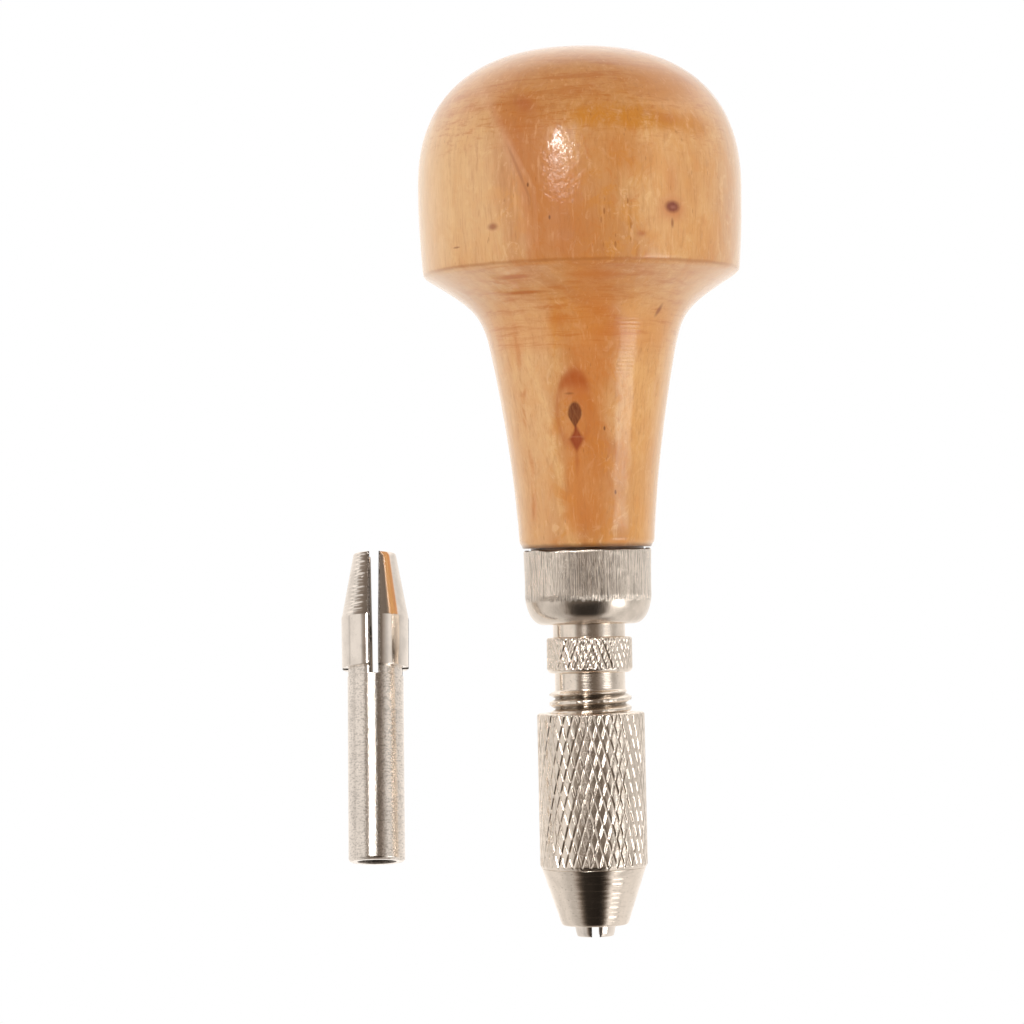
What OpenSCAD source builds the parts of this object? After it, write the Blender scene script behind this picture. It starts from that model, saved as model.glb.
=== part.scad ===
// Bookbinding awl haft: a turned wooden palm handle with a ferrule and a pin-vise chuck for the needle.
// +Z runs up the awl's axis towards the palm. z = 0 is the tip of the fitted collet, where a needle leaves.
// The spare collet stands beside the haft, its head leaning back.
// Everything is in millimetres and at real size.

/* [Handle] */
// greatest diameter of the wooden head
handle_d = 35.4; // [28:0.1:45]
// height of the palm end above the collet tip
handle_top_z = 96.6; // [85:0.1:120]
// height of the widest ring of the head
handle_wide_z = 80.75; // [74:0.05:90]
// height of the sharp shoulder under the head
shoulder_z = 71.95; // [66:0.1:80]
// fullness of the domed palm end, 2 is an ellipse and more is squarer
dome_power = 2.47; // [2:0.05:3]
// neck diameter just under the cove
neck_top_d = 19.84; // [15:0.1:26]
// height at which the cove runs into the tapered neck
neck_top_z = 62.65; // [56:0.1:68]
// neck diameter at the ferrule
neck_foot_d = 14.85; // [11:0.05:20]

/* [Ferrule] */
// height of the ferrule's open rim
ferrule_rim_z = 42.05; // [38:0.1:50]
// height of the ferrule's closed end
ferrule_end_z = 33.85; // [32:0.1:37]
// outer diameter at the open rim
ferrule_rim_d = 14; // [11:0.05:18]
// outer diameter just above the rounded end
ferrule_end_d = 13.4; // [10:0.05:18]
// outer rounding of the closed end
ferrule_round = 1.6; // [0.5:0.1:2.5]
// diameter of the wooden tenon inside the ferrule
tenon_d = 12.4; // [9:0.1:16]

/* [Chuck spindle] */
// thread major diameter
thread_d = 9; // [7:0.1:12]
// thread pitch, one start, right-handed
thread_pitch = 1.1; // [0.8:0.05:1.5]
// lower end of the spindle, which the collet's head seats against
spindle_end_z = 12.95; // [12:0.05:16]
// height at which the thread runs out into the lower neck
thread_top_z = 26.95; // [24:0.1:30]
// diameter of the knurled grip band over its crests
band_d = 9.3; // [8:0.1:12]
// lower edge of the band's full diameter
band_low_z = 28.95; // [27:0.1:31]
// upper edge of the band
band_high_z = 32.45; // [31:0.1:34]
// diameter of the plain neck between band and ferrule
neck_d = 7.85; // [7.2:0.05:9]
// bore that takes the collet's shank
spindle_bore_d = 6.3; // [5:0.05:7]
// depth of that bore, measured as the height of its flat end
spindle_bore_top_z = 35.6; // [30:0.1:38]
// diameter of the tang pressed into the wood
tang_d = 5.2; // [3:0.1:8]
// height of the tang's upper end
tang_top_z = 60; // [48:0.5:66]

/* [Chuck nut] */
// diameter of the nut over its knurl
nut_d = 11.7; // [10:0.1:15]
// height of the nut's open upper face
nut_top_z = 24.25; // [20:0.05:26]
// lower edge of the knurl
nut_knurl_low_z = 7.7; // [6:0.1:10]
// height of the nut's nose face
nut_nose_z = 1.25; // [0.5:0.05:3]
// diameter of the nose face
nut_nose_d = 7.3; // [6:0.1:9]
// diameter at the top of the nose cone
nut_cone_d = 11.3; // [9:0.1:14]
// plain bore round the collet's head
nut_bore_d = 7.7; // [7:0.05:9]
// height at which the seat cone ends and opens into the plain bore
nut_seat_top_z = 4.5; // [3:0.1:6]
// clearance between the seat cone and the jaws, measured across the radius
seat_gap = 0.06; // [0.02:0.01:0.1]

/* [Collets] */
// diameter of the fitted collet's cone, carried on to its tip
collet_tip_d = 4.1; // [3:0.05:6]
// diameter of the spare collet's cone, carried on to its tip
spare_tip_d = 4.6; // [3:0.05:6]
// angle of the cone's side from the axis, with the jaws parallel
cone_angle = 11.0; // [8:0.1:16]
// diameter of a collet's head
head_d = 7.45; // [6.5:0.05:8]
// length of the head, cone included
head_len = 12.9; // [10:0.1:16]
// diameter of a collet's shank
shank_d = 6.2; // [5:0.05:7]
// whole length of a collet
collet_len = 34.3; // [30:0.1:38]
// bore through the shank
shank_bore_d = 4; // [2:0.1:5]
// bore between the jaws that grips the needle
grip_d = 2.4; // [1:0.1:3]
// length of the gripping bore
grip_len = 8; // [4:0.5:10]
// width of the two crossing slots with the jaws parallel
slot_w = 0.85; // [0.5:0.05:1.2]
// length of the slots from the tip
slot_len = 13.8; // [13:0.1:16]
// outward spring of each of the spare collet's jaws
spare_flare = 0.7; // [0:0.05:1.2]

/* [Spare collet place] */
// sideways distance of the spare collet's free shank end from the awl's axis
spare_x = -23.7; // [-40:0.1:-16]
// height of the middle of that shank end
spare_z = 8.3; // [4:0.1:20]
// distance of that shank end behind the awl's axis
spare_y = 2.8; // [-5:0.1:10]
// lean of the spare collet's head away from the viewer
spare_lean = 10.5; // [0:0.1:12]
// sideways tilt of the spare collet's head towards the awl
spare_tilt = 0.3; // [-5:0.1:5]

/* [Hidden] */
// working depth and crest flat of a 60 degree thread
thread_depth = thread_pitch * cos(30) * 0.7;
crest_flat = thread_pitch / 8;
core_r = thread_d / 2 - thread_depth;
// allowance of the nut's thread, along the axis at each flank and across the radius at crest and root
flank_gap = 0.08;
crest_gap = 0.1;
nut_minor_r = core_r + 0.12;
// play between each jaw's root and the collet's tube
root_gap = 0.04;
// straight steps in one turn of the thread
thread_steps = 24;
// how far above the shoulder edge the head's side starts to round, and how far it draws in by then
belly_stop = 0.55;
belly_sink = 0.42;
// slope of the face under the shoulder, from level
under_slope = 32;
// upper end of the spindle's full-width stem inside the wood
stem_top_z = spindle_bore_top_z + 3.6;

wood_rgb = [0.72, 0.42, 0.19];
nickel_rgb = [0.78, 0.75, 0.7];
spindle_rgb = [0.7, 0.67, 0.62];
nut_rgb = [0.82, 0.79, 0.74];
collet_rgb = [0.62, 0.6, 0.58];

// points of a cubic curve after its first point
function curve(a, b, c, d, n) = [
  for (i = [1:n])
    let (t = i / n, s = 1 - t)
      a * s * s * s + b * 3 * s * s * t + c * 3 * s * t * t + d * t * t * t
];

// points of an arc of radius r about c, from angle f to angle t
function arc(c, r, f, t, n) = [for (i = [0:n]) let (g = f + (t - f) * i / n) c + r * [cos(g), sin(g)]];

// the domed palm end, from its pole down to the widest ring
function dome_points(n) = [
  for (i = [0:n])
    let (g = 90 - 90 * i / n)
      [
        handle_d / 2 * pow(cos(g), 2 / dome_power),
        handle_wide_z + (handle_top_z - handle_wide_z) * pow(sin(g), 2 / dome_power)
      ]
];

// the slightly barrelled side between the widest ring and the shoulder
function belly_points(n) = [
  for (i = [1:n])
    let (drop = (handle_wide_z - shoulder_z - belly_stop) * i / n, f = drop / (handle_wide_z - shoulder_z))
      [handle_d / 2 - belly_sink * f * f, handle_wide_z - drop]
];

module wood_handle() {
  shoulder_r = handle_d / 2 - belly_sink;
  shoulder = [shoulder_r, shoulder_z];
  belly_foot = [shoulder_r + 0.02, shoulder_z + belly_stop];
  edge_in = shoulder + 0.6 * [-cos(under_slope), -sin(under_slope)];
  cove_pull = edge_in + 6.4 * [-cos(under_slope), -sin(under_slope)];
  neck_top = [neck_top_d / 2, neck_top_z];
  neck_foot = [neck_foot_d / 2, ferrule_rim_z + 1.1];
  foot_r = ferrule_rim_d / 2 + 0.1;
  profile = concat(
    dome_points(16),
    belly_points(5),
    curve(belly_foot, shoulder + [0, 0.15], shoulder + [-0.05, 0.02], edge_in, 4),
    curve(edge_in, cove_pull, neck_top + 5 * [0.19, 1], neck_top, 10),
    curve(neck_top, neck_top - 7 * [0.19, 1], neck_foot + 6 * [0.05, 1], neck_foot, 8),
    curve(neck_foot, neck_foot - [0.03, 0.5], [foot_r, ferrule_rim_z + 0.4], [foot_r, ferrule_rim_z], 4),
    [
      [tenon_d / 2, ferrule_rim_z],
      [tenon_d / 2, ferrule_end_z + 1.7],
      [tenon_d / 2 - 0.9, ferrule_end_z + 0.8],
      [neck_d / 2, ferrule_end_z + 0.8],
      [neck_d / 2, stem_top_z],
      [tang_d / 2, stem_top_z],
      [tang_d / 2, tang_top_z + 0.2],
      [0, tang_top_z + 0.2 + tang_d / 2 * tan(30)]
    ]
  );
  color(wood_rgb)
    rotate_extrude($fn = 72) polygon(profile);
}

// a drawn cup: straight tapering side, rounded closed end with the spindle's hole, thin rolled rim
module ferrule() {
  rim_r = ferrule_rim_d / 2;
  end_r = ferrule_end_d / 2;
  corner = [end_r - ferrule_round, ferrule_end_z + ferrule_round];
  hole_r = neck_d / 2 + 0.02;
  wall = 0.75;
  profile = concat(
    [
      [tenon_d / 2 + 0.02, ferrule_rim_z - 0.1],
      [tenon_d / 2 + 0.12, ferrule_rim_z],
      [rim_r - 0.15, ferrule_rim_z],
      [rim_r, ferrule_rim_z - 0.15],
      [rim_r - 0.17, ferrule_rim_z - 3.6]
    ],
    arc(corner, ferrule_round, 0, -90, 8),
    [
      [hole_r, ferrule_end_z],
      [hole_r, ferrule_end_z + wall],
      [tenon_d / 2 - 0.85, ferrule_end_z + wall],
      [tenon_d / 2 + 0.02, ferrule_end_z + wall + 0.87]
    ]
  );
  color(nickel_rgb)
    rotate_extrude($fn = 72) polygon(profile);
}

// one helical ridge with a trapezium section, fading in and out over a quarter turn at its ends
module helix(r_in, half_in, r_out, half_out, z_low, z_high) {
  turns = (z_high - z_low) / thread_pitch;
  n = round(turns * thread_steps);
  fade_steps = thread_steps / 4;
  rings = [
    for (i = [0:n])
      let (
        g = 360 * i / thread_steps,
        z = z_low + thread_pitch * i / thread_steps,
        k = min(1, (i + 1) / fade_steps, (n - i + 1) / fade_steps),
        r = r_in + (r_out - r_in) * k,
        h = half_in + (half_out - half_in) * k
      )
        for (q = [[r_in, -half_in], [r, -h], [r, h], [r_in, half_in]])
          [q[0] * cos(g), q[0] * sin(g), z + q[1]]
  ];
  sides = [
    for (i = [0:n - 1], j = [0:3])
      let (a = 4 * i + j, b = 4 * i + (j + 1) % 4)
        for (f = [[a, b, b + 4], [a, b + 4, a + 4]]) f
  ];
  ends = [[3, 2, 1], [3, 1, 0], [4 * n, 4 * n + 1, 4 * n + 2], [4 * n, 4 * n + 2, 4 * n + 3]];
  polyhedron(rings, concat(sides, ends), convexity = 10);
}

// half width of the thread's tooth at radius r
function half_tooth(r) = crest_flat / 2 + (thread_d / 2 - r) * tan(30);

module chuck_spindle() {
  bore_r = spindle_bore_d / 2;
  stem_r = neck_d / 2;
  band_r = band_d / 2;
  tang_r = tang_d / 2;
  barb = 0.3;
  barb_step = 3.4;
  barbs = floor((tang_top_z - 1.5 - stem_top_z - 1) / barb_step);
  profile = concat(
    [
      [0, spindle_bore_top_z + bore_r * tan(30)],
      [bore_r, spindle_bore_top_z],
      [bore_r, spindle_end_z + 0.2],
      [bore_r + 0.2, spindle_end_z],
      [core_r - 0.1, spindle_end_z],
      [core_r, spindle_end_z + 0.1],
      [core_r, band_low_z - 0.45],
      [band_r - 0.4, band_low_z - 0.4],
      [band_r, band_low_z],
      [band_r, band_high_z - 0.12],
      [band_r - 0.12, band_high_z],
      [stem_r, band_high_z],
      [stem_r, stem_top_z],
      [tang_r, stem_top_z]
    ],
    [
      for (i = [0:barbs - 1])
        for (q = [[tang_r, 1], [tang_r - barb, 1], [tang_r - barb, 1.6], [tang_r, 2.4]])
          [q[0], stem_top_z + barb_step * i + q[1]]
    ],
    [
      [tang_r, tang_top_z - 1],
      [tang_r - 1, tang_top_z],
      [0, tang_top_z]
    ]
  );
  root_r = core_r - 0.12;
  color(spindle_rgb) {
    rotate_extrude($fn = 64) polygon(profile);
    helix(
      root_r, half_tooth(root_r), thread_d / 2, crest_flat / 2,
      spindle_end_z + 0.75, thread_top_z - 0.3
    );
  }
}

// radius of a collet's cone at height z above its tip
function cone_r(tip, z) = tip / 2 + z * tan(cone_angle);

module chuck_nut() {
  nut_r = nut_d / 2;
  nose_r = nut_nose_d / 2;
  cone_top_r = nut_cone_d / 2;
  cone_top_z = nut_knurl_low_z - 0.3;
  bore_r = nut_bore_d / 2;
  seat_low_r = cone_r(collet_tip_d, nut_nose_z) + seat_gap;
  seat_top_r = cone_r(collet_tip_d, nut_seat_top_z) + seat_gap;
  relief_r = thread_d / 2 + 0.15;
  relief_low_z = spindle_end_z - 1.1;
  relief_top_z = spindle_end_z + 1.9;
  profile = [
    [seat_low_r + 0.15, nut_nose_z],
    [nose_r - 0.15, nut_nose_z],
    [nose_r, nut_nose_z + 0.15],
    [cone_top_r, cone_top_z],
    [nut_r, nut_knurl_low_z + 0.15],
    [nut_r, nut_top_z - 0.2],
    [nut_r - 0.2, nut_top_z],
    [thread_d / 2 + 0.25, nut_top_z],
    [nut_minor_r, nut_top_z - 0.6],
    [nut_minor_r, relief_top_z + 0.4],
    [relief_r, relief_top_z],
    [relief_r, relief_low_z],
    [bore_r, relief_low_z - 0.5],
    [bore_r, nut_seat_top_z + bore_r - seat_top_r],
    [seat_top_r, nut_seat_top_z],
    [seat_low_r + 0.02, nut_nose_z + 0.15]
  ];
  groove_in_r = nut_minor_r - 0.1;
  groove_r = thread_d / 2 + crest_gap;
  color(nut_rgb)
    difference() {
      rotate_extrude($fn = 72) polygon(profile);
      helix(
        groove_in_r, half_tooth(groove_in_r) + flank_gap, groove_r, half_tooth(groove_r) + flank_gap,
        spindle_end_z + 0.75, nut_top_z + 1.2
      );
    }
}

// section of one collet from its tip (z = 0) towards its shank, cut off at z_end;
// root_inset thins both sides of the wall beside the slots' ends
module jaw_profile(tip, z_end, root_inset) {
  cone_len = (head_d - tip) / 2 / tan(cone_angle);
  grip_r = grip_d / 2;
  bore_r = shank_bore_d / 2;
  polygon([
    [grip_r, 0],
    [cone_r(tip, 0) - 0.3, 0],
    [cone_r(tip, 0) - 0.08, 0.1],
    [cone_r(tip, 0.35), 0.35],
    [head_d / 2, cone_len],
    [head_d / 2, head_len - 0.12],
    [head_d / 2 - 0.12, head_len],
    [shank_d / 2 - root_inset, head_len],
    [shank_d / 2 - root_inset, z_end],
    [bore_r + root_inset, z_end],
    [bore_r + root_inset, head_len],
    [bore_r, head_len - 0.5],
    [bore_r, grip_len + bore_r - grip_r],
    [grip_r, grip_len]
  ]);
}

// one of the four jaws, its middle at the angle turn
module jaw(tip, turn, z_end, root_inset) {
  intersection() {
    rotate_extrude($fn = 48) jaw_profile(tip, z_end, root_inset);
    rotate([0, 0, turn - 45])
      translate([slot_w / 2, slot_w / 2, -1])
        cube([head_d, head_d, z_end + 2]);
  }
}

module fitted_jaw(number) {
  color(collet_rgb)
    jaw(collet_tip_d, 45 + 90 * (number - 1), slot_len - root_gap, 0);
}

// the unslotted part of a collet's shank
module shank_tube(z_start) {
  outer = shank_d / 2;
  inner = shank_bore_d / 2;
  rotate_extrude($fn = 48)
    polygon([
      [inner, z_start],
      [outer, z_start],
      [outer, collet_len - 0.25],
      [outer - 0.25, collet_len],
      [inner + 0.2, collet_len],
      [inner, collet_len - 0.2]
    ]);
}

module collet_tube() {
  color(collet_rgb)
    shank_tube(slot_len);
}

// the whole spare collet in its own frame, tip at the origin and shank towards +Z
module spare_body() {
  wall_mid = (shank_d + shank_bore_d) / 4;
  shank_tube(slot_len);
  for (turn = [45:90:315])
    rotate([0, 0, turn])
      translate([wall_mid, 0, slot_len])
        rotate([0, -spare_flare, 0])
          translate([-wall_mid, 0, -slot_len])
            rotate([0, 0, -turn])
              jaw(spare_tip_d, turn, slot_len + 0.4, 0.05);
}

module spare_collet() {
  color(collet_rgb)
    translate([spare_x, spare_y, spare_z])
      rotate([-spare_lean, spare_tilt, 0])
        rotate([180, 0, 0])
          translate([0, 0, -collet_len])
            spare_body();
}

wood_handle();
ferrule();
chuck_spindle();
chuck_nut();
collet_tube();
fitted_jaw(1);  // collet_jaw_1
fitted_jaw(2);  // collet_jaw_2
fitted_jaw(3);  // collet_jaw_3
fitted_jaw(4);  // collet_jaw_4
spare_collet();
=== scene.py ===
import math

import bmesh
import bpy
import numpy as np
from mathutils import Matrix, Vector


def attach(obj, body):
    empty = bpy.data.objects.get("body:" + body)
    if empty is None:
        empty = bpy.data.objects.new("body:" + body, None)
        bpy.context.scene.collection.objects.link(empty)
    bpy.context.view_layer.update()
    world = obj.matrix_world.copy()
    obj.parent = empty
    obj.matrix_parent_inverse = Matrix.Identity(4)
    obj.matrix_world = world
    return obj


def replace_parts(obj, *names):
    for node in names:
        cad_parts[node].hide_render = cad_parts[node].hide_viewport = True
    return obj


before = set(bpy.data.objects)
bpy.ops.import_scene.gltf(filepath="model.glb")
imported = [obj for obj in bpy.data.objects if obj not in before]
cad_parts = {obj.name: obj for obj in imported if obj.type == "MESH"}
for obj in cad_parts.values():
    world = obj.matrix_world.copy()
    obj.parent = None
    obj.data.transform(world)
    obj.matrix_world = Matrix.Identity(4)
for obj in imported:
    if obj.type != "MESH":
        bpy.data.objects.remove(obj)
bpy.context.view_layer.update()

# ---------------------------------------------------------------- sizes, in mm
MM = 0.001
TAU = 2 * math.pi

HANDLE_R = 17.7
HANDLE_TOP = 96.6
WIDE_Z = 80.75
SHOULDER_Z = 71.95
DOME_POWER = 2.47
BELLY_STOP = 0.55
BELLY_SINK = 0.42
UNDER_SLOPE = math.radians(32)
NECK_TOP = (9.92, 62.65)
NECK_FOOT = (7.425, 43.15)
FOOT_R = 7.1
RIM_Z = 42.05
TENON_R = 6.2
TENON_LOW = 36.0

FERRULE_RIM_R = 7.0
FERRULE_SIDE_R = 6.9
FERRULE_ROUND_Z = 36.9
FERRULE_END_Z = 33.85
FERRULE_FLAT_R = 4.9

NECK_R = 3.925
NECK_TOP_Z = 37.0
BAND_R = 4.65
BAND_LOW = 28.95
BAND_HIGH = 32.45
BAND_SEGMENTS = 400
KNURL_SLOPE = math.tan(math.radians(22))
SPINDLE_END = 12.95
SPINDLE_BORE_R = 3.15

PITCH = 1.1
THREAD_R = 4.5
CORE_R = THREAD_R - PITCH * math.cos(math.radians(30)) * 0.7
CREST = 0.26
THREAD_START = SPINDLE_END + 0.75
THREAD_TOP = 26.95

NUT_R = 5.85
NUT_TOP = 24.25
NUT_LOW = 7.7
CONE_TOP_R = 5.65
CONE_TOP_Z = 7.4
NOSE_R = 3.65
NOSE_Z = 1.25
NUT_BORE_R = 3.85
NUT_SEGMENTS = 456
NUT_ROW = 0.1278
RELIEF_LOW = 11.95
RELIEF_HIGH = 14.95
SEAT_TOP_Z = 4.5
SEAT_GAP = 0.06

CONE_SLOPE = math.tan(math.radians(11.0))
TIP_R = 2.05
SPARE_TIP_R = 2.3
HEAD_R = 3.72
HEAD_LEN = 12.9
SHANK_R = 3.1
SHANK_BORE_R = 2.0
GRIP_R = 1.2
GRIP_LEN = 8.0
SLOT_HALF = 0.425
SLOT_LEN = 13.8
COLLET_LEN = 34.3
SPARE_AT = (-23.7, 2.8, 8.3)
SPARE_LEAN = 10.5
SPARE_TILT = 0.3
SPARE_FLARE = math.radians(0.7)
SCORED_JAW = 2


# ---------------------------------------------------------------- meshes
# how far apart, in degrees, two faces point before the edge between them is drawn sharp
CREASE = 38


def smoothstep(v, low, high):
    t = np.clip((v - low) / (high - low), 0, 1)
    return t * t * (3 - 2 * t)


def wrap(angle):
    """An angle in radians brought to -pi..pi."""
    return (angle + math.pi) % TAU - math.pi


def waves(seed, a, z, count, turns, length):
    """Smooth seeded unevenness round a turned piece, about -1..1: up to so many waves a turn, and
    no shorter than length along the axis."""
    rng = np.random.default_rng(seed)
    total = np.zeros(np.broadcast(a, z).shape)
    for _ in range(count):
        k = rng.integers(-turns, turns + 1)
        m = rng.uniform(-1, 1) * TAU / length
        total = total + rng.uniform(0.4, 1) * np.sin(k * a + m * z + rng.uniform(0, TAU))
    return total / (0.7 * count**0.5 * 1.4)


def bezier(a, b, c, d, n):
    t = np.linspace(0, 1, n + 1)[:, None]
    s = 1 - t
    a, b, c, d = (np.array(p, float) for p in (a, b, c, d))
    return a * s**3 + 3 * b * s**2 * t + 3 * c * s * t**2 + d * t**3


def even(points, step):
    """A polyline resampled so that its points lie about step apart."""
    p = np.array(points, float)
    run = np.concatenate([[0], np.cumsum(np.hypot(*np.diff(p, axis=0).T))])
    n = max(1, int(math.ceil(run[-1] / step)))
    s = np.linspace(0, run[-1], n + 1)
    return np.stack([np.interp(s, run, p[:, 0]), np.interp(s, run, p[:, 1])], 1)


def path(corners, step):
    """A profile through corners (radius, height, rounding), each rounded by its own radius."""
    out = []
    count = len(corners)
    for i, (r, z, rounding) in enumerate(corners):
        here = np.array([r, z], float)
        if rounding == 0 or i in (0, count - 1):
            out.append(here[None])
            continue
        before = np.array(corners[i - 1][:2], float) - here
        after = np.array(corners[i + 1][:2], float) - here
        reach = min(rounding, 0.48 * np.hypot(*before), 0.48 * np.hypot(*after))
        a = here + before / np.hypot(*before) * reach
        b = here + after / np.hypot(*after) * reach
        t = np.linspace(0, 1, 7)[:, None]
        out.append(a * (1 - t) ** 2 + 2 * here * t * (1 - t) + b * t**2)
    line = np.concatenate(out)
    fine = [line[:1]]
    for a, b in zip(line[:-1], line[1:]):
        length = np.hypot(*(b - a))
        if length < 1e-6:
            continue
        n = max(1, int(math.ceil(length / step)))
        fine.append(a + (b - a) * np.linspace(0, 1, n + 1)[1:, None])
    return np.concatenate(fine)


def new_object(name, verts, faces, material, crease=CREASE):
    mesh = bpy.data.meshes.new(name)
    mesh.from_pydata((np.asarray(verts) * MM).tolist(), [], faces)
    work = bmesh.new()
    work.from_mesh(mesh)
    bmesh.ops.recalc_face_normals(work, faces=work.faces)
    work.to_mesh(mesh)
    work.free()
    mesh.shade_smooth()
    mesh.set_sharp_from_angle(angle=math.radians(crease))
    mesh.materials.append(material)
    obj = bpy.data.objects.new(name, mesh)
    bpy.context.scene.collection.objects.link(obj)
    return obj


def lathe(name, profile, segments, material, shape=None, staggered=False, crease=CREASE):
    """Turns a profile of (radius, height) about Z. A profile that starts and ends on the axis gets
    poles, any other is closed on itself. shape(r, a, z) gives each point's changed radius and
    height. Staggered rows are joined by triangles."""
    p = np.asarray(profile, float)
    poles = p[0, 0] < 1e-9 and p[-1, 0] < 1e-9
    rows = p[1:-1] if poles else p
    count = len(rows)
    a = np.arange(segments) * TAU / segments
    a = np.repeat(a[None], count, axis=0)
    if staggered:
        a = a + (np.arange(count) % 2)[:, None] * math.pi / segments
    r = np.repeat(rows[:, :1], segments, axis=1)
    z = np.repeat(rows[:, 1:], segments, axis=1)
    if shape is not None:
        r, z = shape(r, a, z)
    verts = np.stack([r * np.cos(a), r * np.sin(a), z], -1).reshape(-1, 3)
    faces = []
    j = np.arange(segments)
    k = (j + 1) % segments
    last = count - 1 if poles else count
    for i in range(last):
        lo = i * segments
        hi = ((i + 1) % count) * segments
        if not staggered or i == count - 1:
            faces += np.stack([lo + j, lo + k, hi + k, hi + j], 1).tolist()
        elif i % 2 == 0:
            faces += np.stack([lo + j, lo + k, hi + j], 1).tolist()
            faces += np.stack([hi + j, lo + k, hi + k], 1).tolist()
        else:
            faces += np.stack([lo + j, hi + k, hi + j], 1).tolist()
            faces += np.stack([lo + j, lo + k, hi + k], 1).tolist()
    if poles:
        verts = np.concatenate([verts, [[0, 0, p[0, 1]], [0, 0, p[-1, 1]]]])
        first, end = len(verts) - 2, len(verts) - 1
        low = (count - 1) * segments
        faces += [[first, int(x), int(y)] for x, y in zip(k, j)]
        faces += [[end, int(low + x), int(low + y)] for x, y in zip(j, k)]
    return new_object(name, verts, faces, material, crease)


def knurl(a, z, starts, radius, slope, half_width, seed, spread):
    """How deep two crossing families of V grooves are at each point, 0..1. Each groove differs
    a little from the others."""
    rng = np.random.default_rng(seed)
    pitch = TAU * radius / starts
    deepest = np.zeros(a.shape)
    for way in (-1, 1):
        level = 1 + spread * rng.uniform(-1, 1, starts)
        shift = 0.25 * spread * rng.uniform(-1, 1, starts)
        u = (a * radius + way * slope * z) / pitch
        n = np.floor(u).astype(int) % starts
        off = np.abs(u - np.floor(u) - 0.5 - shift[n]) * pitch * math.cos(math.atan(slope))
        deepest = np.maximum(deepest, level[n] * np.clip(1 - off / half_width, 0, 1))
    return deepest


# ---------------------------------------------------------------- node graphs
class Field:
    """A number inside a node graph, which adds, multiplies and so on like a plain number."""

    def __init__(self, graph, socket):
        self.graph = graph
        self.socket = socket

    def op(self, kind, *others):
        return self.graph.math(kind, self, *others)

    def __add__(self, o):
        return self.op("ADD", o)

    __radd__ = __add__

    def __sub__(self, o):
        return self.op("SUBTRACT", o)

    def __rsub__(self, o):
        return self.graph.math("SUBTRACT", o, self)

    def __mul__(self, o):
        return self.op("MULTIPLY", o)

    __rmul__ = __mul__

    def __truediv__(self, o):
        return self.op("DIVIDE", o)

    def __pow__(self, o):
        return self.op("POWER", o)

    def __abs__(self):
        return self.op("ABSOLUTE")

    def least(self, o):
        return self.op("MINIMUM", o)

    def most(self, o):
        return self.op("MAXIMUM", o)


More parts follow.
